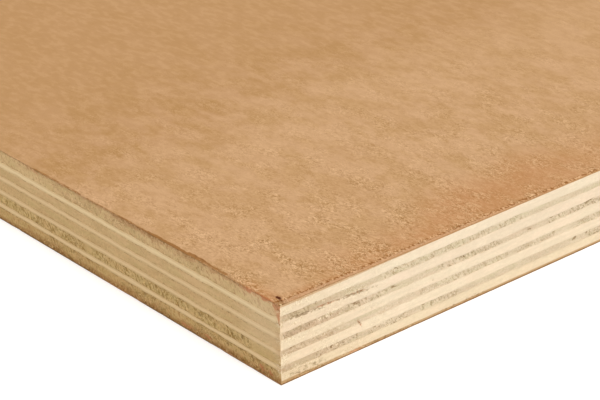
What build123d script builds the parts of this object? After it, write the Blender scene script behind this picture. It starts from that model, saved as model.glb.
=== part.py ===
from build123d import *
import os

# A full plywood sheet: veneers laid face to face, the grain of each one square to that of its neighbours.
# +X runs along the sheet and its face grain, +Y across it, and +Z up out of the good face.
# The origin is at the middle of the underside. Lengths are in millimetres.

# Outline of the sheet, sawn square.
sheet_length = 2440.0
sheet_width = 1220.0

# Thickness of one ply of each kind.
face_veneer_thickness = 0.3
cross_ply_thickness = 2.36
long_ply_thickness = 1.4
back_veneer_thickness = 0.3

# The grain of the cross plies runs along Y and that of the long plies along X, as in the two outer veneers.
# A cross ply lies under each outer veneer, so there is one long ply fewer.
cross_ply_count = 5


def lay_up():
    """Name and thickness of every ply from the underside up, each kind numbered down from the face."""
    plies = [("back_veneer", back_veneer_thickness)]
    for number in range(cross_ply_count, 0, -1):
        plies.append((f"cross_ply_{number}", cross_ply_thickness))
        if number > 1:
            plies.append((f"long_ply_{number - 1}", long_ply_thickness))
    plies.append(("face_veneer", face_veneer_thickness))
    return plies


def make_ply(name, underside, thickness):
    """One veneer as a flat plate of the full outline, with its lower face at the height underside."""
    outline = Plane.XY.offset(underside) * Rectangle(sheet_length, sheet_width)
    ply = extrude(outline, amount=thickness)
    ply.label = name
    return ply


def make_sheet():
    """Every ply on top of the one before it, so the height of each follows from the plies below."""
    sheet = []
    underside = 0.0
    for name, thickness in lay_up():
        sheet.append(make_ply(name, underside, thickness))
        underside += thickness
    return sheet


os.makedirs("parts", exist_ok=True)
for ply in make_sheet():
    export_step(ply, f"parts/{ply.label}.step")
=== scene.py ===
import math
import bpy
import numpy as np
from mathutils import Matrix, Vector


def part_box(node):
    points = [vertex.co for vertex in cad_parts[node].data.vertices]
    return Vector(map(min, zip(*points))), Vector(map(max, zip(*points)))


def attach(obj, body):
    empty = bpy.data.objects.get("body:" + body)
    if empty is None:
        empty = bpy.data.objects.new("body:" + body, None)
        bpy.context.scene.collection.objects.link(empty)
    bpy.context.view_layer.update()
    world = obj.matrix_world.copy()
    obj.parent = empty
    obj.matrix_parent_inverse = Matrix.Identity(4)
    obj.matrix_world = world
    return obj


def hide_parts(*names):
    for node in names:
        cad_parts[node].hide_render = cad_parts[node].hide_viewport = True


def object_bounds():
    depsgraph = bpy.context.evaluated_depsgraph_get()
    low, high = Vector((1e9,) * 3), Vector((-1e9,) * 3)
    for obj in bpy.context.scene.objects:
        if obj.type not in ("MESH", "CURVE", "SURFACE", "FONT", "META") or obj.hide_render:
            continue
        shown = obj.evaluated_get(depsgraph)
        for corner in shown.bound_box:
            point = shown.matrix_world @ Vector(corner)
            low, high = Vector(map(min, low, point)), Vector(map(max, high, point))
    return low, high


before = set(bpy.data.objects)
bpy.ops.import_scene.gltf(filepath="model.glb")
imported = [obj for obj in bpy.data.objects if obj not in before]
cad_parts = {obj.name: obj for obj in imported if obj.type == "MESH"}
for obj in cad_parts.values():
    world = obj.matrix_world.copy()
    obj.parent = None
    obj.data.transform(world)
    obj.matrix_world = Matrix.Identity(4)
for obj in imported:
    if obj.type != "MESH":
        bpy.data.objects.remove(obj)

cadLow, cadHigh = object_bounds()
halfLength, halfWidth = cadHigh.x, cadHigh.y
mm = 0.001

# Plies from the underside up, and the heights at which they meet.
plyNames = sorted(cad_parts, key=lambda node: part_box(node)[0].z)
meetHeights = [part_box(node)[0].z for node in plyNames] + [cadHigh.z]
print("frame loaded:", len(plyNames), "plies")


# Small helpers for shader nodes.
def paint(tone):  # a colour as a screen shows it, 0 to 255, as a shader wants it
    parts = [min(part / 255, 1.0) for part in tone]
    return tuple(p / 12.92 if p <= 0.04045 else ((p + 0.055) / 1.055) ** 2.4 for p in parts) + (1.0,)


def tinted(tone, tint):
    return tuple(part * share for part, share in zip(tone, tint))


def shifted(tone, steps):  # lighter or darker by so many steps of 255
    return tuple(max(part + steps, 0) for part in tone)


def addNode(tree, kind, sockets=None, **settings):
    node = tree.nodes.new(kind)
    for name, value in settings.items():
        setattr(node, name, value)
    for name, value in (sockets or {}).items():
        if isinstance(value, bpy.types.NodeSocket):
            tree.links.new(value, node.inputs[name])
        else:
            node.inputs[name].default_value = value
    return node


def treeOf(*values):  # the node tree that holds the sockets among these values
    return next(value.id_data for value in values if isinstance(value, bpy.types.NodeSocket))


def calc(operation, first, second=0.0):
    sockets = {0: first, 1: second}
    return addNode(treeOf(first, second), "ShaderNodeMath", sockets, operation=operation).outputs[0]


def plus(first, second):
    return calc("ADD", first, second)


def minus(first, second):
    return calc("SUBTRACT", first, second)


def times(first, *others):
    for other in others:
        first = calc("MULTIPLY", first, other)
    return first


def fromTo(share, low, high):  # low where the share is 0 and high where it is 1
    return plus(times(share, high - low), low)


def between(value, low, high):  # 0 at low and 1 at high, with soft ends
    return addNode(treeOf(value), "ShaderNodeMapRange", {"Value": value, "From Min": low, "From Max": high},
                   interpolation_type="SMOOTHSTEP").outputs["Result"]


def vectorCalc(operation, first, second):
    sockets = {0: first, 1: second}
    return addNode(treeOf(first), "ShaderNodeVectorMath", sockets, operation=operation).outputs[0]


def split(vector):
    return addNode(treeOf(vector), "ShaderNodeSeparateXYZ", {0: vector}).outputs


def flatVector(x, y):
    return addNode(treeOf(x), "ShaderNodeCombineXYZ", {0: x, 1: y}).outputs[0]


def blend(share, first, second, method="MIX"):
    sockets = {0: share, 6: first, 7: second}
    return addNode(treeOf(share), "ShaderNodeMix", sockets, data_type="RGBA", blend_type=method).outputs[2]


def layOver(wood, layers):  # a layer is a tone, and then shares that say how strongly it covers
    for tone, *shares in layers:
        wood = blend(times(*shares), wood, paint(tone))
    return wood


def noise(vector, detail=3.0, roughness=0.55, distortion=0.0, scale=1.0):
    sockets = {"Vector": vector, "Scale": scale, "Detail": detail, "Roughness": roughness,
               "Distortion": distortion}
    return addNode(treeOf(vector), "ShaderNodeTexNoise", sockets).outputs["Fac"]


def marked(tree, name):  # a value that the mesh carries from point to point
    return addNode(tree, "ShaderNodeAttribute", attribute_name=name).outputs["Fac"]


def newGroup(name, inputs):
    group = bpy.data.node_groups.new(name, "ShaderNodeTree")
    for label, value in inputs.items():
        kind = "NodeSocketVector" if isinstance(value, tuple) else "NodeSocketFloat"
        group.interface.new_socket(label, in_out="INPUT", socket_type=kind).default_value = value
    return group.nodes.new("NodeGroupInput").outputs


def closeGroup(results):  # gives the group an output for each of its results
    group = treeOf(*results.values())
    for label in results:
        group.interface.new_socket(label, in_out="OUTPUT", socket_type="NodeSocketFloat")
    addNode(group, "NodeGroupOutput", results)
    return group


def useGroup(group, sockets):
    return addNode(treeOf(*sockets.values()), "ShaderNodeGroup", sockets, node_tree=group).outputs


# Fibres as a solid grain: streaks where they lie in a face, dots where the face cuts across them.
def makeFibreGroup():
    given = newGroup("Wood fibre", {
        "Position": (0, 0, 0), "Cycles per metre": (1000, 1000, 1000), "Wander": 0.5})
    scaled = vectorCalc("MULTIPLY", given["Position"], given["Cycles per metre"])
    fine = noise(scaled, 3.0, 0.6, given["Wander"])
    coarse = noise(scaled, 2.0, scale=0.3)
    return closeGroup({"Fine": between(fine, 0.3, 0.7), "Coarse": between(coarse, 0.32, 0.68)})


# Soft changes of tone over a face: patches a few millimetres wide, and long bands of the growth rings.
def makeFigureGroup():
    given = newGroup("Wood figure", {
        "Position": (0, 0, 0), "Patch cycles": (60, 100, 100), "Band cycles": (1, 16, 16)})
    position, patches = given["Position"], given["Patch cycles"]
    moved = vectorCalc("ADD", position, (0.37, 0.13, 0.71))  # so the tints don't follow the patches
    patch = noise(vectorCalc("MULTIPLY", position, patches), 4.0, 0.66)
    tint = noise(vectorCalc("MULTIPLY", moved, patches), 3.0, 0.6)
    band = noise(vectorCalc("MULTIPLY", position, given["Band cycles"]), 4.0, 0.5, 0.6)
    textures = {"Patch": patch, "Tint": tint, "Band": band}
    return closeGroup({label: between(texture, 0.34, 0.66) for label, texture in textures.items()})


# Raised fibres: short curly lines, pale with painted highlight where they stand up and dark with painted
# shade where they lie deep, in clusters.
def makeCurlGroup():
    given = newGroup("Raised fibres", {
        "Position": (0, 0, 0), "Pale cycles": (1000, 1500, 1500), "Dark cycles": (1000, 1500, 1500),
        "Cover": 0.5, "Cluster cycles": (60, 90, 90), "Line width": 0.05})
    cluster = noise(vectorCalc("MULTIPLY", given["Position"], given["Cluster cycles"]), 3.0, 0.6)
    results = {"Rough": between(plus(cluster, given["Cover"]), 0.84, 1.14)}
    for label, offset in (("Pale", (0, 0, 0)), ("Dark", (31.7, 8.3, 5.1))):
        scaled = vectorCalc("MULTIPLY", given["Position"], given[label + " cycles"])
        curve = noise(vectorCalc("ADD", scaled, offset), 2.0, 0.5, 1.0)
        fromLine = calc("ABSOLUTE", minus(curve, 0.5))
        results[label] = times(minus(1.0, between(fromLine, 0.0, given["Line width"])), results["Rough"])
    return closeGroup(results)


# Torn end grain: leaning strokes, dark where fibres were pulled out, with painted shade in those pits, and
# pale where they were left, with painted highlight on them.
def makeStrokeGroup():
    given = newGroup("Torn strokes", {
        "Position": (0, 0, 0), "Along cycles": 1500.0, "Up cycles": 600.0, "Lean": 0.5})
    at = split(given["Position"])
    along = plus(at["X"], at["Y"])  # runs along whichever edge this is
    leaning = plus(along, times(at["Z"], given["Lean"]))
    cut = flatVector(times(leaning, given["Along cycles"]), times(at["Z"], given["Up cycles"]))
    strand = noise(cut, 3.0, 0.6, 0.7)
    return closeGroup({"Dark": between(strand, 0.5, 0.36), "Pale": between(strand, 0.52, 0.66),
                       "Strand": strand})


# Ragged rim, in metres wide, along the top and the underside of a ply. Layer is 0 at the underside and 1 at
# the top.
def makeSeamGroup():
    given = newGroup("Ragged seam", {
        "Position": (0, 0, 0), "Layer": 0.5, "Thickness": 0.002, "Width": 0.0002, "Softness": 0.0001,
        "Cycles": 1100.0})
    broken = noise(given["Position"], 4.0, 0.65, scale=given["Cycles"])
    reach = times(given["Width"], minus(times(broken, 6.0), 2.5))
    outside = times(given["Softness"], -1.0)
    results = {}
    for label, share in (("Upper", minus(1.0, given["Layer"])), ("Lower", given["Layer"])):
        inside = minus(reach, times(share, given["Thickness"]))
        results[label] = between(inside, outside, given["Softness"])
    return closeGroup(results)


# A mark whose soft rim takes the outline of a texture. It shows from Low and is whole at High.
def makeRaggedGroup():
    given = newGroup("Ragged mark", {"Mark": 0.0, "Texture": 0.5, "Spread": 1.0, "Low": 0.2, "High": 0.8})
    moved = plus(given["Mark"], times(minus(given["Texture"], 0.5), given["Spread"]))
    return closeGroup({"Mask": between(moved, given["Low"], given["High"])})


fibreGroup = makeFibreGroup()
figureGroup = makeFigureGroup()
curlGroup = makeCurlGroup()
strokeGroup = makeStrokeGroup()
seamGroup = makeSeamGroup()
raggedGroup = makeRaggedGroup()
print("shader groups made")


def ragged(mark, texture, spread, low, high):
    sockets = {"Mark": mark, "Texture": texture, "Spread": spread, "Low": low, "High": high}
    return useGroup(raggedGroup, sockets)["Mask"]


# Mesh of the sawn plies. Points stand closest beside the front right corner, where the grain is torn.
sheetMesh = {
    "fineStep": 0.2 * mm,  # between columns near that corner
    "fineReach": 100 * mm,  # how far along both edges they stay that close
    "widening": 0.05,  # how fast the step grows beyond it
    "coarseStep": 6 * mm,  # widest step, at the far ends
    "fineFade": (0.4 * mm, 1.6 * mm),  # steps over which fine relief fades out
    "columnBlock": 64,  # columns a side come in blocks, so that rings can be thinned out evenly
    "rowStep": 0.31 * mm,  # between rows up an edge
    "glueRows": [0.1 * mm, 0.25 * mm],  # rows that stand close to a glue line
    "cutReach": 1.3 * mm,  # how far in from a sawn face its roughness is felt
    "onFace": 0.0001 * mm,  # points this close to a sawn face lie on it
}


def columnStep(reach):
    wider = sheetMesh["fineStep"] + (reach - sheetMesh["fineReach"]) * sheetMesh["widening"]
    return np.clip(wider, sheetMesh["fineStep"], sheetMesh["coarseStep"])


def gradedSteps(length):
    reach = np.linspace(0, length, 40001)  # fine enough to add up the steps
    counted = np.concatenate(([0], np.cumsum(np.diff(reach) / columnStep(reach[1:]))))
    block = sheetMesh["columnBlock"]
    columns = math.ceil(counted[-1] / block) * block
    return np.interp(np.linspace(0, counted[-1], columns + 1), counted, reach)


# Columns round the outline, seen from above: front edge, right end, rear edge, left end.
lengthSteps = (halfLength - gradedSteps(2 * halfLength))[::-1]
widthSteps = gradedSteps(2 * halfWidth) - halfWidth
alongLength, alongWidth = len(lengthSteps) - 1, len(widthSteps) - 1
outlineX = np.concatenate((lengthSteps[:-1], np.full(alongWidth, halfLength),
                           lengthSteps[:0:-1], np.full(alongWidth, -halfLength)))
outlineY = np.concatenate((np.full(alongLength, -halfWidth), widthSteps[:-1],
                           np.full(alongLength, halfWidth), widthSteps[:0:-1]))


def lumps(u, v, seed):  # smooth random values from 0 to 1, one lump to each unit; each seed is a new pattern
    size = 128
    table = np.random.default_rng(seed).random((size, size))
    u, v = np.broadcast_arrays(u, v)
    cellU, cellV = np.floor(u).astype(int), np.floor(v).astype(int)
    shareU, shareV = u - cellU, v - cellV
    shareU, shareV = shareU ** 2 * (3 - 2 * shareU), shareV ** 2 * (3 - 2 * shareV)

    def at(stepU, stepV):
        return table[(cellU + stepU) % size, (cellV + stepV) % size]
    low = at(0, 0) * (1 - shareU) + at(1, 0) * shareU
    high = at(0, 1) * (1 - shareU) + at(1, 1) * shareU
    return low * (1 - shareV) + high * shareV


def lumpsAlong(along, length, seed):  # the same along one line, each lump so long
    return lumps(along / length, 0.5, seed)


def ramp(value, low, high):  # 0 at low and 1 at high, with soft ends
    share = np.clip((value - low) / (high - low), 0, 1)
    return share * share * (3 - 2 * share)


def within(value, start, end, soft):  # 1 from start to end, fading over soft on either side
    return ramp(value, start - soft, start) * (1 - ramp(value, end, end + soft))


def spot(at, place, size, turn=0.0):  # 1 in the middle of an oval and 0 outside it, all in millimetres
    u, v = at[0] / mm - place[0], at[1] / mm - place[1]
    far = np.hypot((u * math.cos(turn) + v * math.sin(turn)) / (0.5 * size[0]),
                   (v * math.cos(turn) - u * math.sin(turn)) / (0.5 * size[1]))
    return 1 - ramp(far, 0.5, 1.3)


def fineShare(along):  # 1 where the columns stand close, 0 where they are too far apart for fine relief
    return 1 - ramp(columnStep(along), *sheetMesh["fineFade"])


# Each core ply's own look. Tones are bare wood as a screen shows it: along the grain, at its cut ends and
# where the saw tore it. lift is how far its upper glue line stands above its true height, on the front edge
# and at the right end. tornPlaces are stretches near the corner, of the front edge for a cross ply and of
# the right end for a long one. Lengths are in millimetres.
# Brown fibres of the outer veneer lie dragged over two plies. On the long edges they are stain, or burnt
# where they lie thickest. stainReach is the least and the most that they reach, stainLevel their strength on
# the front and the rear edge, and stainPlaces are stretches of the front edge that have more. At the two
# ends they are smear. smearReach is how far they reach at the front corner and farther along, and the
# distance over which that changes.
corePlies = {
    "cross_ply_1": {"along": (224, 207, 179), "end": (207, 175, 126), "torn": (146, 108, 62),
                    "lift": (0.0, 0.0), "tornPlaces": [(24, 34), (44, 56), (60, 76)], "tornAmount": 0.6,
                    "stain": (179, 135, 92), "darkBrown": (132, 92, 48), "smear": (186, 150, 112),
                    "stainReach": (1.3, 2.3), "smearReach": (0.55, 0.08, 45), "stainLevel": (0.2, 0.75),
                    "stainPlaces": [(11, 20, 0.5), (12, 80, 0.25), (28, 36, 0.5), (36, 53, 0.65)]},
    "long_ply_1": {"along": (223, 196, 150), "end": (200, 182, 152), "torn": (140, 114, 74),
                   "lift": (-0.5, 0.06), "tornPlaces": [(2, 8), (27, 57), (60, 66)], "tornAmount": 0.65},
    "cross_ply_2": {"along": (222, 203, 175), "end": (203, 170, 122), "torn": (150, 116, 66),
                    "lift": (-0.42, -0.04), "tornPlaces": [], "tornAmount": 0.12},
    "long_ply_2": {"along": (215, 185, 139), "end": (201, 181, 152), "torn": (126, 104, 60),
                   "lift": (-0.3, 0.04), "tornPlaces": [(1, 7), (9, 13), (17, 28), (43, 60), (75, 90)],
                   "tornAmount": 0.7},
    "cross_ply_3": {"along": (223, 205, 176), "end": (200, 167, 118), "torn": (150, 116, 66),
                    "lift": (-0.12, 0.0), "tornPlaces": [], "tornAmount": 0.12},
    "long_ply_3": {"along": (214, 184, 138), "end": (202, 183, 154), "torn": (140, 114, 74),
                   "lift": (-0.08, 0.04), "tornPlaces": [(2, 8), (10, 14), (38, 62), (66, 76), (84, 97)],
                   "tornAmount": 0.55},
    "cross_ply_4": {"along": (224, 206, 177), "end": (196, 164, 111), "torn": (136, 104, 44),
                    "lift": (0.12, -0.04), "tornPlaces": [(10, 27), (30, 62), (66, 97)], "tornAmount": 1.0},
    "long_ply_4": {"along": (216, 187, 141), "end": (199, 180, 151), "torn": (130, 106, 64),
                   "lift": (0.3, 0.2), "tornPlaces": [(10, 20), (24, 33), (38, 47), (88, 97)],
                   "tornAmount": 0.8},
    "cross_ply_5": {"along": (219, 200, 168), "end": (193, 160, 106), "torn": (124, 90, 34),
                    "lift": (0.52, 0.08), "tornPlaces": [(2, 27), (36, 52), (62, 80)], "tornAmount": 0.8,
                    "stain": (168, 125, 77), "darkBrown": (133, 95, 50), "smear": (172, 138, 95),
                    "stainReach": (0.9, 1.9), "smearReach": (0.75, 0.38, 70), "stainLevel": (1.0, 1.0),
                    "stainPlaces": [(6, 20, 0.4)]},
}

# How the saw left all four edges. A lump of roughness has a length and a height.
sawnEdge = {
    "roughDepth": 0.04 * mm,
    "longGrainLump": (5 * mm, 0.5 * mm),
    "cutEndLump": (0.6 * mm, 0.5 * mm),
    "endRecess": 0.05 * mm,  # cut ends of fibres lie a little behind the long grain
    "tearDepth": 0.16 * mm,
    "tearLump": (0.6 * mm, 0.8 * mm),
    "tearLean": 0.5,
    "tearLength": 9 * mm,  # usual length of a torn stretch
    "tearLimits": (0.42, 0.66),  # random values from which a stretch is torn a little, and wholly
    "tearFade": 1.5 * mm,  # how softly a stretch ends
    "waveHeight": 0.15 * mm,  # how far a glue line wanders up and down
    "waveLength": 26 * mm,
    "rippleHeight": 0.22 * mm,
    "rippleLength": 2.4 * mm,
    "rippleFade": (1 * mm, 2 * mm),  # ripple fades out where the columns stand this far apart
    "glueReach": (1 * mm, 2.8 * mm),  # a glue line wanders fully this deep, and is flat from the second on
    "liftFade": 2.2 * mm,  # length over which its lift passes from one edge to the other at the corner
    "veneerWander": 0.35,  # the outer veneers are thin, so their glue lines wander less
    "markDepth": 0.12 * mm,
    "brownLength": 5 * mm,  # dragged brown fibres change their reach this often
    "brownFade": 4 * mm,
}

# Single marks on the two edges near the corner: how far along the edge and how high, length and width, slope
# in degrees, then how dark and how red they are. Lengths are in millimetres.
edgeMarks = {
    "right": [
        (9.3, 15.0, 0.9, 0.5, 90, 0.6, 0.1), (30.9, 15.0, 2.3, 0.45, -24, 0.8, 0.0),
        (4.0, 14.2, 3.4, 0.5, 4, 0.6, 0.1), (54.8, 14.7, 0.8, 0.4, 80, 0.6, 0.0),
        (20.4, 13.45, 8.0, 0.6, -3, 0.75, 0.4), (12.5, 13.75, 9.0, 0.5, -4, 0.5, 0.5),
        (7.7, 10.95, 1.0, 0.5, 80, 0.6, 0.0), (15.0, 10.7, 1.6, 0.6, 20, 0.6, 0.2),
        (19.6, 11.1, 2.6, 0.6, -8, 0.7, 0.0), (29.9, 11.15, 1.9, 0.6, -12, 0.9, 0.0),
        (39.0, 11.4, 0.9, 0.3, 85, 0.6, 0.0), (49.3, 11.1, 1.8, 0.6, -20, 0.7, 0.0),
        (52.0, 10.9, 1.4, 0.5, -50, 0.6, 0.0), (68.7, 10.8, 2.2, 0.5, -12, 0.6, 0.0),
        (86.8, 11.3, 3.2, 0.6, 10, 0.8, 0.0), (40.8, 8.85, 0.8, 0.4, 85, 0.4, 0.3),
        (3.0, 7.5, 2.0, 0.5, 5, 0.5, 0.2), (76.2, 7.5, 0.8, 0.5, 0, 0.7, 0.0),
        (20.7, 6.2, 2.6, 0.7, -58, 0.6, 0.5), (13.2, 3.7, 1.0, 0.7, 40, 0.8, 0.0),
        (19.8, 3.3, 2.0, 0.5, 5, 0.5, 0.2), (31.8, 3.4, 0.8, 0.5, 30, 0.6, 0.0),
        (82.8, 3.75, 1.5, 0.8, 20, 0.9, 0.0), (86.6, 3.8, 0.9, 0.6, 40, 0.8, 0.0),
        (19.5, 0.5, 4.0, 0.5, 0, 0.0, 0.8), (7.0, 0.4, 18.0, 0.8, 0, 0.35, 0.0),
        (29.0, 0.5, 18.0, 0.8, 0, 0.45, 0.0), (50.0, 0.6, 16.0, 1.2, 0, 0.35, 0.0),
        (6.5, 1.5, 11.0, 2.0, 0, 0.4, 0.1),
        (7.0, 13.7, 12.0, 0.7, -3, 0.6, 0.0), (20.0, 13.25, 15.0, 0.7, -3, 0.5, 0.1),
    ],
    "front": [
        (12.0, 6.0, 1.3, 0.7, 70, 0.9, 0.0), (15.4, 5.6, 1.4, 0.6, 75, 0.7, 0.0),
        (25.8, 5.3, 2.2, 0.7, 20, 0.6, 0.0), (8.8, 2.2, 1.8, 0.7, 70, 0.7, 0.0),
        (16.6, 2.4, 1.1, 0.6, 75, 0.8, 0.0), (6.0, 1.5, 2.2, 0.9, 40, 0.3, 0.9),
        (3.2, 1.3, 1.6, 0.8, 30, 0.3, 0.9), (30.0, 0.9, 5.0, 0.8, 0, 0.0, 0.7),
        (23.0, 1.3, 3.0, 0.9, 0, 0.0, 0.7), (36.0, 1.6, 2.0, 0.9, 20, 0.0, 0.5),
        (82.5, 17.1, 4.0, 1.2, 6, 0.1, 0.5), (4.6, 17.6, 3.0, 0.7, 0, 0.0, 1.0),
        (9.4, 17.6, 2.6, 0.8, 0, 0.0, 1.0), (8.0, 17.3, 15.0, 1.2, 0, 0.0, 0.5),
        (0.8, 17.4, 3.0, 2.2, 0, 0.4, 0.85), (0.8, 16.3, 3.4, 2.4, 80, 0.0, 0.6),
        (0.2, 14.9, 3.4, 0.7, 90, 0.25, 0.7),
    ],
}


def glueHeight(index, at):  # a glue line wanders beside the cut faces and is flat inside
    flat = np.full_like(at["x"], meetHeights[index])
    if index in (0, len(plyNames)):
        return flat
    beside = 1 - ramp(np.minimum(at["inLong"], at["inEnd"]), *sawnEdge["glueReach"])
    waves, ripples = sawnEdge["waveLength"], sawnEdge["rippleLength"]
    wave = lumps(at["x"] / waves, at["y"] / waves, 40 + index) - 0.5
    ripple = lumps(at["x"] / ripples, at["y"] / ripples, 60 + index) - 0.5
    step = columnStep(np.maximum(at["fromRight"], at["fromFront"]))
    ripple = ripple * (1 - ramp(step, *sawnEdge["rippleFade"]))
    moved = sawnEdge["waveHeight"] * 2 * wave + sawnEdge["rippleHeight"] * ripple
    below = plyNames[index - 1]
    if below in corePlies:
        onFront, onRight = corePlies[below]["lift"]
        frontShare = 1 - ramp(at["fromFront"], *sawnEdge["glueReach"])
        frontShare = frontShare * ramp(at["fromRight"], 0, sawnEdge["liftFade"])
        rightShare = (1 - ramp(at["fromRight"], *sawnEdge["glueReach"])) * (1 - frontShare)
        moved = moved + (onFront * frontShare + onRight * rightShare) * mm
    if index in (1, len(plyNames) - 1):
        moved = moved * sawnEdge["veneerWander"]
    return flat + beside * moved


def tornShare(node, along, isNear):  # 0 to 1: how torn the cut ends are at these places
    look = corePlies[node]
    ownRow = plyNames.index(node) * 3.7  # each ply takes another row of the same lumps
    zones = lumps(along / sawnEdge["tearLength"], ownRow, 11)
    zones = ramp(zones, *sawnEdge["tearLimits"])
    placed = 0 * along
    for start, end in look["tornPlaces"]:
        placed = placed + within(along, start * mm, end * mm, sawnEdge["tearFade"])
    isPlaced = isNear & (along < sheetMesh["fineReach"]) & bool(look["tornPlaces"])
    return np.where(isPlaced, np.minimum(placed, 1), zones) * look["tornAmount"]


def sawnRelief(node, along, up, torn, isEndGrain):  # how far the surface lies behind the true face
    seed = plyNames.index(node) * 10
    fine, depth = fineShare(along), sawnEdge["roughDepth"]
    if not isEndGrain:
        length, height = sawnEdge["longGrainLump"]
        return lumps(along / length, up / height, seed) * 0.5 * depth * fine
    length, height = sawnEdge["cutEndLump"]
    rough = lumps(along / length, up / height, seed + 1) * depth
    length, height = sawnEdge["tearLump"]
    leaning = along + sawnEdge["tearLean"] * up
    pits = ramp(lumps(leaning / length, up / height, seed + 2), 0.45, 0.9)
    return sawnEdge["endRecess"] + fine * (rough + torn * pits * sawnEdge["tearDepth"])


def markShare(marks, along, up, isThere):  # how dark and how red single marks make these points
    dark, red = 0 * along, 0 * along
    for place, height, length, width, slope, darkness, redness in marks:
        share = isThere * spot((along, up), (place, height), (length, width), math.radians(slope))
        dark = np.maximum(dark, share * darkness)
        red = np.maximum(red, share * redness)
    return dark, red


def draggedFibres(node, at):  # 0 to 1: how thickly brown fibres lie over a sawn face
    look = corePlies[node]
    if "stain" not in look:
        return 0 * at["up"]
    fromVeneer = at["up"] - at["low"] if node == "cross_ply_5" else at["high"] - at["up"]
    least, most = look["stainReach"]
    uneven = lumpsAlong(at["fromRight"], sawnEdge["brownLength"], 411)
    reach = least + (most - least) * ramp(uneven, 0.2, 0.8)
    onFront, onRear = look["stainLevel"]
    more = 0.0 * reach
    for start, end, share in look["stainPlaces"]:
        stretch = within(at["fromRight"], start * mm, end * mm, sawnEdge["brownFade"])
        more = np.maximum(more, share * stretch)
    thick = np.where(at["isFront"], onFront + more, onRear)
    beside, beyond, distance = look["smearReach"]
    smear = beside + (beyond - beside) * ramp(at["fromFront"], 0, distance * mm)
    onLong = thick * (1 - np.clip(fromVeneer / (reach * thick * mm), 0, 1))
    onEnd = 1 - np.clip(fromVeneer / (smear * mm), 0, 1)
    return np.where(at["onEndFace"] & ~at["onLongFace"], onEnd, onLong)


# The two outer veneers, rotary cut, with the grain along the sheet.
outerVeneers = {
    "face_veneer": {"warm": (197, 154, 112), "olive": (178, 135, 84), "pink": (195, 149, 111),
                    "band": (181, 137, 89), "light": (209, 168, 125), "rimZone": (189, 133, 85),
                    "pale": (232, 189, 143), "dark": (130, 86, 12), "rim": (147, 100, 51),
                    "end": (171, 128, 83), "strip": (195, 151, 114), "line": (138, 86, 34),
                    "red": (196, 108, 70), "bare": (230, 200, 152), "hole": (80, 26, 0)},
    "back_veneer": {"warm": (184, 138, 96), "olive": (176, 130, 84), "pink": (184, 136, 98),
                    "band": (166, 118, 76), "light": (188, 144, 102), "rimZone": (176, 126, 84),
                    "pale": (210, 164, 120), "dark": (124, 78, 22), "rim": (122, 94, 56),
                    "end": (124, 94, 52)},
}

# The rims of both, as the saw left them.
veneerRim = {
    "chipLength": 2.4 * mm,  # along the two long edges, with teeth inside each chip
    "toothLength": 0.5 * mm,
    "chipDepth": 0.2 * mm,
    "chipAtGlue": 0.25,  # share of that depth at the glue line
    "endChipLength": 1.1 * mm,  # at the two ends
    "endChipDepth": 0.05 * mm,
    "burntAndShadedLength": 18 * mm,  # usual length of a dark stretch, burnt wood with painted shadow
    "burntAndShadedReach": 0.15 * mm,  # how far the dark runs in over the face
    "arrisDrop": 0.05 * mm,  # the saw rounded the arris
    "arrisReach": 0.5 * mm,
}

# What happened to the face veneer near the corner. Lists, places and sizes are in millimetres, from the
# right end and the front edge.
faceDamage = {
    # Stretches of the front rim: from, to, how dark, and how far the dark runs in over the face. The dark is
    # burnt wood with painted shadow.
    "burntAndShadedRim": [(0, 7, 0.6, 0.3), (7, 17, 0.45, 0.3), (17, 24, 0.75, 0.6), (24, 29, 1.0, 0.8),
                 (29, 42, 1.2, 0.5), (42, 52, 0.85, 0.3), (52, 63, 0.6, 0.2), (66, 83, 0.7, 0.25)],
    "burntAndShadedTooth": 0.9 * mm,  # length of the unevenness along such a stretch
    "burntAndShadedFade": 1.2 * mm,
    "brokenRim": [(17, 26, 0.55), (26, 38, 0.25), (68, 78, 0.2)],  # from, to, how far the rim is broken back
    "brokenTooth": 1.1 * mm,
    "brokenFade": 3 * mm,
    "pressedLine": [1.4, 1.15, 0.85, 1.05, 0.9, 0.78, 0.6, 0.35, 0.3],  # how far from the right end it runs
    "pressedEvery": 11.5 * mm,  # distance along it from each value to the next
    "pressedDepth": 0.06 * mm,
    "pressedWidth": 0.22 * mm,
    "dotLength": 0.55 * mm,
    "stripSlope": 0.08 * mm,  # the strip outside that line slopes down so far
    "stripWidth": 1.2 * mm,
    "holePlace": (2.6, 1.95), "holeSize": (1.6, 0.95),
    "holeDepth": 0.18 * mm,
    "bruises": [(1.4, 1.6, 1.8, 0.9, 0.5), (3.8, 1.7, 2.2, 0.9, 0.3)],  # place, size and how dark
    "brownPlace": (0.7, 0.8), "brownSize": (3.0, 2.2),  # brown at the corner, with a chip of bare wood in it
    "chipPlace": (0.2, 0.5), "chipSize": (0.7, 0.5),
    "redStart": (1 * mm, 4 * mm),  # red splinters along the front edge come in from here
    "redEnd": (9.1 * mm, 13 * mm),  # and go out here
    "splinterLength": 1.6 * mm,
    "chamferReach": 0.8 * mm,  # the face slopes down to the broken rim
    "deepest": 0.19 * mm,  # keeps the face above the glue line under it
}
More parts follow.
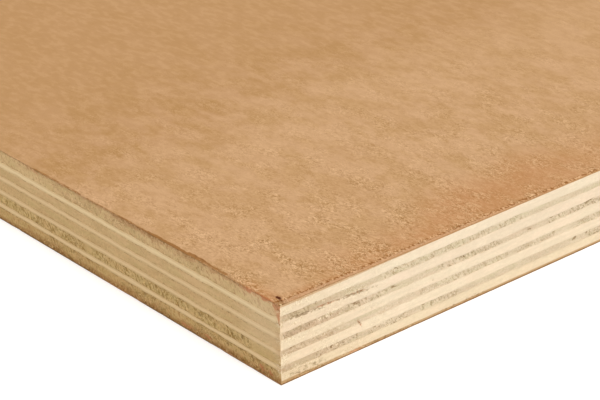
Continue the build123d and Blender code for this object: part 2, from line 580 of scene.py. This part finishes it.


# How far the front and rear rims of an outer veneer are broken back, how dark they are and how far in. The
# dark is burnt wood with painted shadow.
def rimDamage(node, at):
    seed = 200 + plyNames.index(node)
    along, isFront = at["fromRight"], at["isFront"]
    chips = ramp(lumpsAlong(along, veneerRim["chipLength"], seed), 0.6, 0.95)
    chips = chips * lumpsAlong(along, veneerRim["toothLength"], seed + 1)
    broken = fineShare(along) * chips * veneerRim["chipDepth"]
    darkBrown = 0.4 + 0.6 * ramp(lumpsAlong(along, veneerRim["burntAndShadedLength"], seed + 2), 0.3, 0.6)
    reach = veneerRim["burntAndShadedReach"] + 0 * along
    if node == "back_veneer":
        return broken, 0.3 + 0.7 * darkBrown, reach
    placed = 0 * along
    uneven = 0.7 + 0.6 * lumpsAlong(along, faceDamage["burntAndShadedTooth"], seed + 3)
    for start, end, dark, far in faceDamage["burntAndShadedRim"]:
        share = within(along, start * mm, end * mm, faceDamage["burntAndShadedFade"]) * isFront
        placed = np.maximum(placed, share * dark)
        reach = np.maximum(reach, share * far * mm * uneven)
    darkBrown = np.where((along < sheetMesh["fineReach"]) & isFront, placed, darkBrown)
    uneven = 0.45 + 1.1 * lumpsAlong(along, faceDamage["brokenTooth"], seed + 4)
    for start, end, far in faceDamage["brokenRim"]:
        share = within(along, start * mm, end * mm, faceDamage["brokenFade"]) * isFront
        broken = broken + share * far * mm * uneven
    return broken, darkBrown, reach


def faceSpots(at):  # the hole beside the corner, the bruises beside it and the chip at the corner itself
    place = at["fromRight"], at["fromFront"]
    hole = spot(place, faceDamage["holePlace"], faceDamage["holeSize"])
    chip = spot(place, faceDamage["chipPlace"], faceDamage["chipSize"])
    bruise = 0 * at["x"]
    for right, front, length, width, darkness in faceDamage["bruises"]:
        bruise = np.maximum(bruise, darkness * spot(place, (right, front), (length, width)))
    return hole, bruise, chip


def pressedAway(at):  # how far in from the pressed line, which runs beside the right end
    line = np.array(faceDamage["pressedLine"]) * mm
    places = np.arange(len(line)) * faceDamage["pressedEvery"]
    return at["fromRight"] - np.interp(at["fromFront"], places, line)


def arrisDrop(at):  # how far the rim of an outer face is rounded off
    inward = np.minimum(at["inLong"], at["inEnd"])
    return veneerRim["arrisDrop"] * (1 - ramp(inward, 0, veneerRim["arrisReach"]))


def faceDrop(at):  # how far the face is pressed in
    away = pressedAway(at)
    drop = faceDamage["stripSlope"] * np.clip(-away / faceDamage["stripWidth"], 0, 1)
    dots = ramp(lumps(at["y"] / faceDamage["dotLength"], 0.3, 300), 0.3, 0.8)
    drop = drop + faceDamage["pressedDepth"] * dots * np.exp(-(away / faceDamage["pressedWidth"]) ** 2)
    hole, bruise, chip = faceSpots(at)
    spots = faceDamage["holeDepth"] * np.maximum(hole, bruise + 0.6 * chip)
    return np.maximum(arrisDrop(at) + drop * at["isRight"], spots)


def carveCore(node, at):  # how deep a core ply is cut at its long edges and at its ends, and its marks
    up, isFront, isRight = at["up"], at["isFront"], at["isRight"]
    onLongFace, onEndFace = at["onLongFace"], at["onEndFace"]
    cutsLong = node.startswith("cross")  # cut ends show on the long edges, or else at the two ends
    along, isNear = (at["fromRight"], isFront) if cutsLong else (at["fromFront"], isRight)
    torn = tornShare(node, along, isNear)
    longDepth = sawnRelief(node, at["fromRight"], up, torn, cutsLong)
    endDepth = sawnRelief(node, at["fromFront"], up, torn, not cutsLong)
    onFrontEdge = onLongFace & isFront
    onRightEdge = onEndFace & isRight & ~onFrontEdge
    rightDark, rightRed = markShare(edgeMarks["right"], at["fromFront"], up, onRightEdge)
    frontDark, frontRed = markShare(edgeMarks["front"], at["fromRight"], up, onFrontEdge)
    endDepth = endDepth + sawnEdge["markDepth"] * (rightDark + 0.5 * rightRed)
    longDepth = longDepth + sawnEdge["markDepth"] * frontDark
    marks = {"layer": at["layer"], "torn": torn * (onLongFace if cutsLong else onEndFace),
             "stain": draggedFibres(node, at) * (onLongFace | onEndFace),
             "mark": rightDark + frontDark, "red": rightRed + frontRed}
    if node == "cross_ply_1":  # the ledge where the face veneer is broken back is dark too, burnt with painted shadow like the rim
        ledge = rimDamage("face_veneer", at)[1] * isFront * (at["layer"] == 1)
        marks["mark"] = np.maximum(marks["mark"], 0.8 * ledge)
    return longDepth, endDepth, 0, marks


def carveVeneer(node, at):  # the same for an outer veneer, and how far its outer face is pressed in
    outer = 1.0 if node == "face_veneer" else 0.0
    fromGlue = np.abs(at["layer"] - 1 + outer)  # 0 at the glue line and 1 at the outer face
    broken, darkBrown, reach = rimDamage(node, at)
    atGlue = veneerRim["chipAtGlue"]
    longDepth = broken * (atGlue + (1 - atGlue) * fromGlue)
    endChips = lumpsAlong(at["fromFront"], veneerRim["endChipLength"], 230 + plyNames.index(node))
    endDepth = veneerRim["endChipDepth"] * ramp(endChips, 0.6, 0.95)
    # The dark rim, burnt wood with painted shadow, over the outer face and down the wall.
    onTop = 1 - ramp(at["inLong"], 0.2 * reach, 1.3 * reach)
    onWall = (0.65 + 0.35 * fromGlue) * at["onLongFace"]
    rim = darkBrown * np.where(at["layer"] == outer, onTop, onWall)
    if node == "back_veneer":
        return longDepth, endDepth, -arrisDrop(at) * (at["layer"] == 0), {"rim": rim}
    hole, bruise, chip = faceSpots(at)
    brown = spot((at["fromRight"], at["fromFront"]), faceDamage["brownPlace"], faceDamage["brownSize"])
    rim = np.maximum(rim, 0.55 * brown)
    along = at["fromRight"]
    splinters = 0.35 + 0.65 * ramp(lumpsAlong(along, faceDamage["splinterLength"], 333), 0.35, 0.7)
    isRed = ramp(along, *faceDamage["redStart"]) * (1 - ramp(along, *faceDamage["redEnd"])) * at["isFront"]
    marks = {"rim": rim, "mark": np.maximum(hole, bruise) * (at["layer"] == 1), "bare": chip,
             "pressed": pressedAway(at) / mm, "red": splinters * isRed * np.minimum(1.6 * rim, 1)}
    chamfer = 0.35 * broken * (1 - ramp(at["inLong"], 0, faceDamage["chamferReach"]))
    drop = np.minimum(faceDrop(at) + chamfer, faceDamage["deepest"])
    return longDepth, endDepth, drop * (at["layer"] == 1), marks


def carvePly(node, x, y, layer):  # from the plain plate to the sawn shape, with marks for the shader
    at = {"x": x, "y": y, "layer": layer, "isFront": y < 0, "isRight": x > 0,
          "fromRight": halfLength - x, "fromFront": y + halfWidth,
          "inLong": halfWidth - np.abs(y), "inEnd": halfLength - np.abs(x)}
    at["onLongFace"], at["onEndFace"] = (at[name] < sheetMesh["onFace"] for name in ("inLong", "inEnd"))
    index = plyNames.index(node)
    at["low"], at["high"] = glueHeight(index, at), glueHeight(index + 1, at)
    at["up"] = at["low"] + (at["high"] - at["low"]) * layer
    carve = carveCore if node in corePlies else carveVeneer
    longDepth, endDepth, drop, marks = carve(node, at)
    longDepth = longDepth * (1 - np.clip(at["inLong"] / sheetMesh["cutReach"], 0, 1))
    endDepth = endDepth * (1 - np.clip(at["inEnd"] / sheetMesh["cutReach"], 0, 1))
    return np.stack((x - np.sign(x) * endDepth, y - np.sign(y) * longDepth, at["up"] - drop), 1), marks


# Gathers the points and faces of one ply.
class PlyShell:
    def __init__(self):
        self.points, self.faces, self.count = [], [], 0

    def addRing(self, x, y, layer):
        self.points.append(np.stack((x, y, np.broadcast_to(layer, x.shape)), 1))
        self.count += len(x)
        return np.arange(self.count - len(x), self.count)

    def addFaces(self, corners, isFlipped=False):
        self.faces += (corners[:, ::-1] if isFlipped else corners).tolist()

    def closeFace(self, rim, layer, rings, isFlipped):  # rings in from the rim, then a grid in the middle
        ring, every = rim, 1
        for inset, fewer in rings:
            every *= fewer
            inner = self.addRing(outlineX[::every] * (1 - inset / halfLength),
                                 outlineY[::every] * (1 - inset / halfWidth), layer)
            outer = ring.reshape(len(inner), fewer)
            corners = list(outer.T) + [np.roll(outer[:, 0], -1), np.roll(inner, -1), inner]
            self.addFaces(np.stack(corners, 1), isFlipped)
            ring = inner
        gridX = lengthSteps[::every] * (1 - inset / halfLength)
        gridY = widthSteps[::every] * (1 - inset / halfWidth)
        wide, deep = len(gridX) - 1, len(gridY) - 1
        grid = np.zeros((deep + 1, wide + 1), int)
        grid[0, :wide], grid[:deep, wide] = ring[:wide], ring[wide:wide + deep]
        grid[deep, :0:-1], grid[:0:-1, 0] = ring[wide + deep:2 * wide + deep], ring[2 * wide + deep:]
        innerX, innerY = np.meshgrid(gridX[1:-1], gridY[1:-1])
        grid[1:-1, 1:-1] = self.addRing(innerX.ravel(), innerY.ravel(), layer).reshape(innerX.shape)
        corners = np.stack((grid[:-1, :-1], grid[:-1, 1:], grid[1:, 1:], grid[1:, :-1]), -1)
        self.addFaces(corners.reshape(-1, 4), isFlipped)


# Rings of points in from the rim: how far in, and how many times fewer points than the ring outside it.
wideRings = [(width * mm, 2) for width in (6, 12, 24, 48, 96, 180)]
ringsOf = {
    "glued": [(3.4 * mm, 8), (40 * mm, 8)],
    "face_veneer": [(0.1 * mm, 1), (0.25 * mm, 1)] + [(0.45 * mm + 0.2 * mm * step, 1) for step in range(9)]
    + [(2.4 * mm, 1), (2.8 * mm, 1), (3.4 * mm, 1)] + wideRings,
    "back_veneer": [(inset * mm, 1) for inset in (0.2, 0.5, 1.0, 2.0, 3.4)] + wideRings,
}


def rowLayers(thickness):  # heights of the rows as shares of the ply's thickness
    near = sheetMesh["glueRows"]
    if thickness < 3 * near[-1]:
        return np.linspace(0, 1, 4)
    count = 1 + round((thickness - 2 * near[-1]) / sheetMesh["rowStep"])
    middle = np.linspace(near[-1], thickness - near[-1], count)
    rows = [0, *near[:-1], *middle, *(thickness - step for step in reversed(near[:-1])), thickness]
    return np.array(rows) / thickness


def makePly(node, material):
    index = plyNames.index(node)
    layers = rowLayers(meetHeights[index + 1] - meetHeights[index])
    shell = PlyShell()
    wall = [shell.addRing(outlineX, outlineY, layer) for layer in layers]
    for lower, upper in zip(wall, wall[1:]):
        shell.addFaces(np.stack((lower, np.roll(lower, -1), np.roll(upper, -1), upper), 1))
    shell.closeFace(wall[0], 0.0, ringsOf[node if node == "back_veneer" else "glued"], True)
    shell.closeFace(wall[-1], 1.0, ringsOf[node if node == "face_veneer" else "glued"], False)
    points, marks = carvePly(node, *np.concatenate(shell.points).T)
    mesh = bpy.data.meshes.new(node + "_wood")
    mesh.from_pydata(points.tolist(), [], shell.faces)
    for name, values in marks.items():
        mesh.attributes.new(name, "FLOAT", "POINT").data.foreach_set("value", values.astype(np.float32))
    # The cut ends of the fibres show on two of the four edges.
    isEnd = np.zeros(len(outlineX))
    isEnd[alongLength:alongLength + alongWidth] = 1
    isEnd[2 * alongLength + alongWidth:] = 1
    endGrain = np.zeros(len(shell.faces))
    onWall = np.tile(1 - isEnd if node.startswith("cross") else isEnd, len(layers) - 1)
    endGrain[:len(onWall)] = onWall
    mesh.attributes.new("endGrain", "FLOAT", "FACE").data.foreach_set("value", endGrain.astype(np.float32))
    mesh.materials.append(material)
    piece = bpy.data.objects.new(node + "_wood", mesh)
    bpy.context.scene.collection.objects.link(piece)
    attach(piece, "root")
    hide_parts(node)
    return sum(len(face) - 2 for face in shell.faces)


def newMaterial(name):
    material = bpy.data.materials.new(name)
    material.use_nodes = True
    tree = material.node_tree
    return material, tree, tree.nodes["Principled BSDF"]


def finishWood(tree, bsdf, finish, wood, fine, relief):  # fine grain makes the wood rougher here and there
    roughness = plus(finish["roughness"], times(fine, finish["grainRoughness"]))
    sockets = {"Strength": 1.0, "Distance": finish["bumpDepth"], "Height": relief}
    bump = addNode(tree, "ShaderNodeBump", sockets).outputs["Normal"]
    for name, socket in (("Base Color", wood), ("Roughness", roughness), ("Normal", bump)):
        tree.links.new(socket, bsdf.inputs[name])
    bsdf.inputs["Specular IOR Level"].default_value = finish["gloss"]


# Finish of the nine core plies. Cycles are to the metre: along the grain, across it and up the ply. Steps
# are lighter or darker by so many of 255.
coreFinish = {
    "fibreCycles": (1000, 2000, 2000),
    "ringCycles": (40, 150, 900),  # growth rings
    "wander": 0.6,
    "streakSteps": {"cross": 6, "long": 9},  # along the grain
    "speckleSteps": 11,  # at the cut ends
    "patchCycles": (150, 150, 500),
    "patchSteps": 14,
    "ringSteps": 12,
    "middleSteps": 8,  # long plies are lighter in the middle of their long grain
    "standingSteps": 24,  # fibres that stand up from the cut ends, paler as painted highlight
    "greenTint": (0.96, 1.0, 0.94),
    "pinkTint": (1.02, 0.975, 0.98),
    "strokes": {"Along cycles": 1700, "Up cycles": 900},
    "curls": {"Pale cycles": (900, 900, 1100), "Dark cycles": (900, 900, 1100),
              "Cluster cycles": (150, 150, 500), "Cover": 0.45, "Line width": 0.05},
    "overlap": {"Width": 0.26 * mm, "Softness": 0.14 * mm, "Cycles": 350.0},
    "overlapShare": 0.42,  # of its neighbour's tone, where a ply shades into it
    "glue": {"Width": 0.22 * mm, "Softness": 0.059 * mm, "Cycles": 1100.0},  # round the cut ends
    "glueAndShadowShares": (0.6, 0.36),  # at the top of a ply, stronger there as painted shadow under the ply above, and at its underside
    # tone of the dark glue lines and of the painted shadow at the top of a ply
    "glueAndShadowTone": (132, 98, 52),
    "redTone": (192, 124, 84),
    "markTone": (108, 80, 34),
    "cornerShade": {"cross": (0.985, 0.97, 0.95), "long": (0.93, 0.89, 0.86)},
    "cornerLight": (228, 202, 164),
    "cornerFibres": ((250, 234, 200), (176, 146, 100)),  # pale with painted highlight and dark with painted shade
    "roughness": 0.8,
    "grainRoughness": 0.12,
    "gloss": 0.08,
    "bumpDepth": 0.05 * mm,
}

# How the sawn edges change beside the front right corner, each from where it starts to where it is whole.
besideCorner = {
    "shadeReach": (32 * mm, 1 * mm),  # the right end is a little darker
    "fibreReach": (55 * mm, 2 * mm),  # and raised fibres lie over it
    "lightReach": (16 * mm, 5 * mm),  # the front edge is a little paler,
    "lightFoot": (3 * mm, 9 * mm),  # but not at its foot
    "rightEnd": (2 * mm, 0.5 * mm),
    "frontEdge": (1 * mm, 0.4 * mm),
}


def makeCornerGroup():
    at = split(newGroup("Beside the corner", {"Position": (0, 0, 0)})["Position"])
    fromRight, fromFront = minus(halfLength, at["X"]), plus(at["Y"], halfWidth)
    rightEnd = between(fromRight, *besideCorner["rightEnd"])
    frontEdge = between(fromFront, *besideCorner["frontEdge"])
    shade = between(fromFront, *besideCorner["shadeReach"])
    fibres = between(fromFront, *besideCorner["fibreReach"])
    light = times(between(fromRight, *besideCorner["lightReach"]),
                  between(at["Z"], *besideCorner["lightFoot"]))
    return closeGroup({"Shade": times(shade, rightEnd), "Fibres": times(fibres, rightEnd),
                       "Light": times(light, frontEdge)})


cornerGroup = makeCornerGroup()


def makeCoreMaterial(node):
    look = corePlies[node]
    kind = node.split("_")[0]
    index = plyNames.index(node)
    material, tree, bsdf = newMaterial(node + " wood")
    position = addNode(tree, "ShaderNodeTexCoord").outputs["Object"]
    layer, endGrain, torn, stain = (marked(tree, name) for name in ("layer", "endGrain", "torn", "stain"))

    def turned(cycles):  # the grain of a cross ply runs along Y
        return (cycles[1], cycles[0], cycles[2]) if kind == "cross" else cycles

    def flecked(tone, steps):
        return blend(fibre["Fine"], paint(shifted(tone, -steps)), paint(shifted(tone, steps)))

    fibre = useGroup(fibreGroup, {"Position": position, "Wander": coreFinish["wander"],
                                  "Cycles per metre": turned(coreFinish["fibreCycles"])})
    figure = useGroup(figureGroup, {"Position": position, "Patch cycles": coreFinish["patchCycles"],
                                    "Band cycles": turned(coreFinish["ringCycles"])})
    strokes = useGroup(strokeGroup, {"Position": position, "Lean": sawnEdge["tearLean"],
                                     **coreFinish["strokes"]})
    curls = useGroup(curlGroup, {"Position": position, **coreFinish["curls"]})
    seam = {"Position": position, "Layer": layer, "Thickness": meetHeights[index + 1] - meetHeights[index]}
    overlap = useGroup(seamGroup, {**seam, **coreFinish["overlap"]})
    corner = useGroup(cornerGroup, {"Position": position})
    rings = between(figure["Band"], 0.5, 1.0)

    # Long grain: faint streaks, patches and growth rings.
    tone = look["along"]
    longWood = layOver(flecked(tone, coreFinish["streakSteps"][kind]), [
        (tinted(tone, coreFinish["pinkTint"]), figure["Tint"], 0.4),
        (shifted(tone, -coreFinish["patchSteps"]), figure["Patch"], 0.45),
        (shifted(tone, -coreFinish["ringSteps"]), rings, 0.5),
    ])
    if kind == "long":
        fromMiddle = calc("ABSOLUTE", minus(layer, 0.5))
        middle = between(fromMiddle, 0.36, 0.0)
        longWood = layOver(longWood, [(shifted(tone, coreFinish["middleSteps"]), middle)])

    # Cut ends: a fine speckle, soft patches and growth rings.
    tone = look["end"]
    endWood = layOver(flecked(tone, coreFinish["speckleSteps"]), [
        (shifted(tone, -coreFinish["patchSteps"]), figure["Patch"], 0.4),
        (shifted(tone, coreFinish["ringSteps"]), rings, 0.5),
    ])

    # Each ply shades into its neighbours, and the long grain of two of them into the outer veneers.
    for label, other in (("Upper", index + 1), ("Lower", index - 1)):
        nextPly = corePlies.get(plyNames[other])
        if nextPly:
            share = coreFinish["overlapShare"]
            longWood = layOver(longWood, [(nextPly["end"], overlap[label], share)])
            endWood = layOver(endWood, [(nextPly["along"], overlap[label], share)])
    if "smear" in look:
        longWood = layOver(longWood, [(look["smear"], between(stain, 0.0, 0.4), 0.9)])

    # Over the cut ends lie tints, dragged brown fibres, then torn strokes and curls where the mesh is torn,
    # with painted shade and painted highlight in them.
    endWood = layOver(endWood, [
        (tinted(tone, coreFinish["greenTint"]), between(figure["Tint"], 0.5, 1.0), 0.3),
        (tinted(tone, coreFinish["pinkTint"]), between(figure["Tint"], 0.5, 0.0), 0.3),
    ])
    if "stain" in look:
        endWood = layOver(endWood, [
            (look["stain"], ragged(stain, strokes["Strand"], 3.0, 0.05, 0.45), 0.85),
            (look["darkBrown"], ragged(stain, fibre["Fine"], 1.4, 0.75, 1.1), 0.6),
        ])
    standing = shifted(tone, coreFinish["standingSteps"])
    rough = calc("MAXIMUM", torn, stain)
    curly = fromTo(rough, 0.2, 0.95)
    endWood = layOver(endWood, [
        (look["torn"], strokes["Dark"], rough, 0.75),
        (standing, strokes["Pale"], rough, 0.5),
        (look["torn"], curls["Dark"], curly),
        (standing, curls["Pale"], curly),
    ])
    # Dark glue round the cut ends, stronger at the top of a cross ply, where it is partly painted shadow
    # under the ply above.
    if kind == "cross":
        glue = useGroup(seamGroup, {**seam, **coreFinish["glue"]})
        atTop, atUnderside = coreFinish["glueAndShadowShares"]
        endWood = layOver(endWood, [
            (coreFinish["glueAndShadowTone"], glue["Upper"], atTop),
            (coreFinish["glueAndShadowTone"], glue["Lower"], atUnderside),
        ])

    # Shade, light and raised fibres beside the corner, then the single marks.
    wood = blend(endGrain, longWood, endWood)
    shade = paint(tinted((255, 255, 255), coreFinish["cornerShade"][kind]))
    wood = blend(corner["Shade"], wood, shade, "MULTIPLY")
    paleFibre, darkFibre = coreFinish["cornerFibres"]
    red = ragged(marked(tree, "red"), strokes["Strand"], 1.5, 0.25, 0.8)
    mark = ragged(marked(tree, "mark"), fibre["Fine"], 0.7, 0.25, 0.8)
    wood = layOver(wood, [
        (coreFinish["cornerLight"], corner["Light"], 0.25),
        (darkFibre, curls["Dark"], corner["Fibres"], 0.5),
        (paleFibre, curls["Pale"], corner["Fibres"], 0.6),
        (coreFinish["redTone"], red, 0.75),
        (coreFinish["markTone"], mark, 0.65),
    ])
    relief = plus(times(fibre["Fine"], 0.3), times(curls["Pale"], endGrain, 0.4))
    relief = minus(relief, times(strokes["Dark"], rough))
    finishWood(tree, bsdf, coreFinish, wood, fibre["Fine"], relief)
    return material


# Finish of the two outer veneers, with cycles to the metre along the grain, across it and up.
veneerFinish = {
    "fibreCycles": (1000, 2000, 2000),
    "wander": 1.0,
    "figure": {"Patch cycles": (95, 150, 150), "Band cycles": (0.9, 13, 13)},
    "curls": {"Pale cycles": (700, 1000, 1000), "Dark cycles": (450, 1000, 1000),
              "Cluster cycles": (110, 170, 170), "Cover": 0.47, "Line width": 0.06},
    "smoothShare": 0.45,  # flecks that are left where the fibres lie flat
    "dotCycles": (1500, 1350, 0),
    "dotReach": (5 * mm, 3 * mm),  # the dots of the pressed line keep this close to the right end
    "roughness": 0.78,
    "grainRoughness": 0.12,
    "gloss": 0.08,
    "bumpDepth": 0.035 * mm,
}

# How a veneer changes over the sheet, each from where the change starts to where it is whole. The first ones
# go by the distance from the corner.
veneerZones = {
    "fuzzReach": (135 * mm, 0.0),  # raised fibres stand thickest at the corner,
    "fuzzAlongEnd": 0.5,  # fade more slowly along the right end
    "fuzzLeft": 0.05,  # and are this thick beyond
    "cornerFuzz": (45 * mm, 10 * mm),
    "cornerFuzzShare": 0.3,  # thicker by so much
    "mottleReach": (135 * mm, 10 * mm),
    "mottle": (0.2, 2.3),  # strength of the patches far from the corner and beside it
    "cornerRimReach": (16 * mm, 8 * mm),
    "cornerRim": (4 * mm, 1 * mm),  # the corner is red-brown along both rims
    "rimFuzz": (2.6 * mm, 0.4 * mm),  # from the right end, as the next three
    "bandBend": 12 * mm,  # how far the growth bands bend both zones
    "paleZone": (88 * mm, 62 * mm),  # paler from here to the right end,
    "rimZone": (20 * mm, 5 * mm),  # then darker and redder
    "rimZoneStart": (6 * mm, 22 * mm),  # from the front edge, as the rest
    "rimZoneStrong": (110 * mm, 65 * mm),
    "rimZoneLeft": 0.45,  # share of it that is left farther along
    "zoneLength": (750 * mm, 260 * mm),
}


def makeZoneGroup():
    given = newGroup("Veneer zones", {"Position": (0, 0, 0), "Band": 0.5})
    at = split(given["Position"])
    toEnd, toFront = minus(halfLength, at["X"]), plus(halfWidth, at["Y"])
    apart = flatVector(toEnd, times(toFront, veneerZones["fuzzAlongEnd"]))
    away = addNode(treeOf(apart), "ShaderNodeVectorMath", {0: apart}, operation="LENGTH").outputs["Value"]

    fuzz = fromTo(between(away, *veneerZones["fuzzReach"]), veneerZones["fuzzLeft"], 1)
    atCorner = times(between(away, *veneerZones["cornerFuzz"]), veneerZones["cornerFuzzShare"])
    thicker = plus(plus(1.0, between(toEnd, *veneerZones["rimFuzz"])), atCorner)
    mottle = fromTo(between(away, *veneerZones["mottleReach"]), *veneerZones["mottle"])

    moved = plus(toEnd, times(minus(given["Band"], 0.5), veneerZones["bandBend"]))
    length = between(toFront, *veneerZones["zoneLength"])
    strong = fromTo(between(toFront, *veneerZones["rimZoneStrong"]), veneerZones["rimZoneLeft"], 1)
    rimZone = times(between(moved, *veneerZones["rimZone"]),
                    between(toFront, *veneerZones["rimZoneStart"]), length, strong)
    besideRim = between(calc("MINIMUM", toFront, toEnd), *veneerZones["cornerRim"])
    cornerZone = times(besideRim, between(away, *veneerZones["cornerRimReach"]))

    return closeGroup({"Fuzz": times(fuzz, thicker), "Mottle": mottle,
                       "Pale zone": times(between(moved, *veneerZones["paleZone"]), length),
                       "Rim zone": calc("MAXIMUM", rimZone, cornerZone)})


zoneGroup = makeZoneGroup()


def makeVeneerMaterial(node):
    look = outerVeneers[node]
    material, tree, bsdf = newMaterial(node + " wood")
    position = addNode(tree, "ShaderNodeTexCoord").outputs["Object"]
    fibre = useGroup(fibreGroup, {"Position": position, "Wander": veneerFinish["wander"],
                                  "Cycles per metre": veneerFinish["fibreCycles"]})
    figure = useGroup(figureGroup, {"Position": position, **veneerFinish["figure"]})
    curls = useGroup(curlGroup, {"Position": position, **veneerFinish["curls"]})
    zones = useGroup(zoneGroup, {"Position": position, "Band": figure["Band"]})
    fuzz, mottle = zones["Fuzz"], zones["Mottle"]

    # Smooth wood: patches, growth bands, a paler zone and the redder rim at the right end.
    patch = plus(0.5, times(minus(figure["Patch"], 0.5), mottle))
    wood = layOver(blend(patch, paint(look["olive"]), paint(look["warm"])), [
        (look["pink"], figure["Tint"], mottle, 0.14),
        (look["band"], figure["Band"], 0.25),
        (look["light"], zones["Pale zone"], 0.33),
        (look["light"], zones["Pale zone"], patch, 0.1),
        (look["rimZone"], zones["Rim zone"], 0.75),
    ])

    # Lumps a few fibres wide, then flecks and raised fibres, with painted highlight and painted shade on the
    # raised fibres.
    flecks = times(fuzz, fromTo(curls["Rough"], veneerFinish["smoothShare"], 1))
    wood = layOver(wood, [
        (look["pale"], between(fibre["Coarse"], 0.5, 1.0), 0.1),
        (look["dark"], between(fibre["Coarse"], 0.5, 0.0), 0.05),
        (look["pale"], between(fibre["Fine"], 0.55, 0.95), flecks, 0.46),
        (look["dark"], between(fibre["Fine"], 0.45, 0.05), flecks, 0.3),
        (look["pale"], curls["Pale"], fuzz, 0.75),
        (look["dark"], curls["Dark"], fuzz, 0.42),
    ])
    if node == "face_veneer":
        # Pressed line of dark and pale dots, with a pinker strip outside it.
        pressed = marked(tree, "pressed")
        toEnd = minus(halfLength, split(position)["X"])
        onLine = times(between(calc("ABSOLUTE", pressed), 0.6, 0.25),
                       between(toEnd, *veneerFinish["dotReach"]))
        dots = noise(vectorCalc("MULTIPLY", position, veneerFinish["dotCycles"]), 2.0, 0.6)
        wood = layOver(wood, [
            (look["strip"], between(pressed, -0.1, -0.5), 0.6),
            (look["pale"], onLine, between(dots, 0.46, 0.36), 0.6),
            (look["line"], onLine, between(dots, 0.48, 0.58), 0.8),
        ])

    # What the saw and later knocks left, as the mesh marks it. The dark rim is burnt wood with painted
    # shadow.
    wood = layOver(wood, [
        (look["end"], marked(tree, "endGrain"), 0.85),
        (look["rim"], ragged(marked(tree, "rim"), fibre["Fine"], 0.5, 0.15, 0.85), 0.9),
    ])
    if node == "face_veneer":
        wood = layOver(wood, [
            (look["red"], marked(tree, "red"), 0.6),
            (look["bare"], between(marked(tree, "bare"), 0.35, 0.7), 0.8),
            (look["hole"], between(marked(tree, "mark"), 0.15, 0.8), 0.95),
        ])
    relief = plus(times(fibre["Fine"], 0.4), times(curls["Pale"], 0.6))
    relief = times(minus(relief, times(curls["Dark"], 0.5)), fuzz)
    finishWood(tree, bsdf, veneerFinish, wood, fibre["Fine"], relief)
    return material


triangles = 0
for node in plyNames:
    material = makeVeneerMaterial(node) if node in outerVeneers else makeCoreMaterial(node)
    madeOf = makePly(node, material)
    print(node, "made of", madeOf, "triangles")
    triangles += madeOf
print("all plies:", triangles, "triangles")


# Floor, light and camera.
studio = {
    "floorSize": 60.0,
    "floorTone": (250, 250, 250),
    "floorRoughness": 0.9,
    "floorLift": 0.12,  # shown to the camera only, lights nothing
    "skyLevel": 0.45,
    "keyFrom": (0.52, -0.12, 0.60),  # towards the lamp
    "keyLevel": 0.85,
    "keySoftness": 35,  # degrees
}
cameraView = {
    "azimuth": 50.03, "elevation": 26.33, "roll": 1.09,  # degrees
    "lens": 139.85,  # on a 36 mm sensor
    "cornerInView": (-3.69 * mm, 36.42 * mm, 457.04 * mm),  # nearest lower corner: right, down, away
    "clip": (0.01, 200),
}


def makeFloor():
    bpy.ops.mesh.primitive_plane_add(size=studio["floorSize"])
    floor = bpy.context.object
    floor.name = "floor"
    material, tree, bsdf = newMaterial("white floor")
    bsdf.inputs["Base Color"].default_value = paint(studio["floorTone"])
    bsdf.inputs["Roughness"].default_value = studio["floorRoughness"]
    bsdf.inputs["Specular IOR Level"].default_value = 0.0
    bsdf.inputs["Emission Color"].default_value = (1, 1, 1, 1)
    seen = addNode(tree, "ShaderNodeLightPath").outputs["Is Camera Ray"]
    tree.links.new(times(seen, studio["floorLift"]), bsdf.inputs["Emission Strength"])
    floor.data.materials.append(material)


def makeLight():
    lamp = bpy.data.lights.new("key", "SUN")
    lamp.energy = studio["keyLevel"] * math.pi
    lamp.angle = math.radians(studio["keySoftness"])
    key = bpy.data.objects.new("key", lamp)
    key.rotation_mode = "QUATERNION"
    key.rotation_quaternion = Vector(studio["keyFrom"]).to_track_quat("Z", "Y")
    bpy.context.scene.collection.objects.link(key)
    world = bpy.data.worlds.new("studio")
    bpy.context.scene.world = world
    world.use_nodes = True
    tree = world.node_tree
    background = tree.nodes["Background"]
    background.inputs["Color"].default_value = (1, 1, 1, 1)
    path = addNode(tree, "ShaderNodeLightPath").outputs
    mirrored = calc("MAXIMUM", path["Is Glossy Ray"], path["Is Transmission Ray"])
    seen = calc("MAXIMUM", path["Is Camera Ray"], mirrored)
    level = addNode(tree, "ShaderNodeMix", {0: seen, 2: studio["skyLevel"], 3: 1.0}).outputs[0]
    tree.links.new(level, background.inputs["Strength"])


def makeCamera():
    azimuth, elevation, roll = (math.radians(cameraView[name]) for name in ("azimuth", "elevation", "roll"))
    forward = Vector((-math.sin(azimuth) * math.cos(elevation), math.cos(azimuth) * math.cos(elevation),
                      -math.sin(elevation)))
    level = Vector((math.cos(azimuth), math.sin(azimuth), 0))
    plumb = forward.cross(level)
    right = math.cos(roll) * level + math.sin(roll) * plumb
    down = math.cos(roll) * plumb - math.sin(roll) * level
    camera = bpy.data.objects.new("camera", bpy.data.cameras.new("camera"))
    camera.data.lens = cameraView["lens"]
    camera.data.clip_start, camera.data.clip_end = cameraView["clip"]
    corner = Vector((cadHigh.x, cadLow.y, cadLow.z))
    toRight, below, ahead = cameraView["cornerInView"]
    stand = corner - right * toRight - down * below - forward * ahead
    turned = Matrix((right, -down, -forward)).transposed().to_4x4()
    camera.matrix_world = Matrix.Translation(stand) @ turned
    bpy.context.scene.collection.objects.link(camera)
    bpy.context.scene.camera = camera


makeFloor()
makeLight()
makeCamera()
bpy.context.scene.view_settings.view_transform = "Standard"
print("floor, light and camera placed")
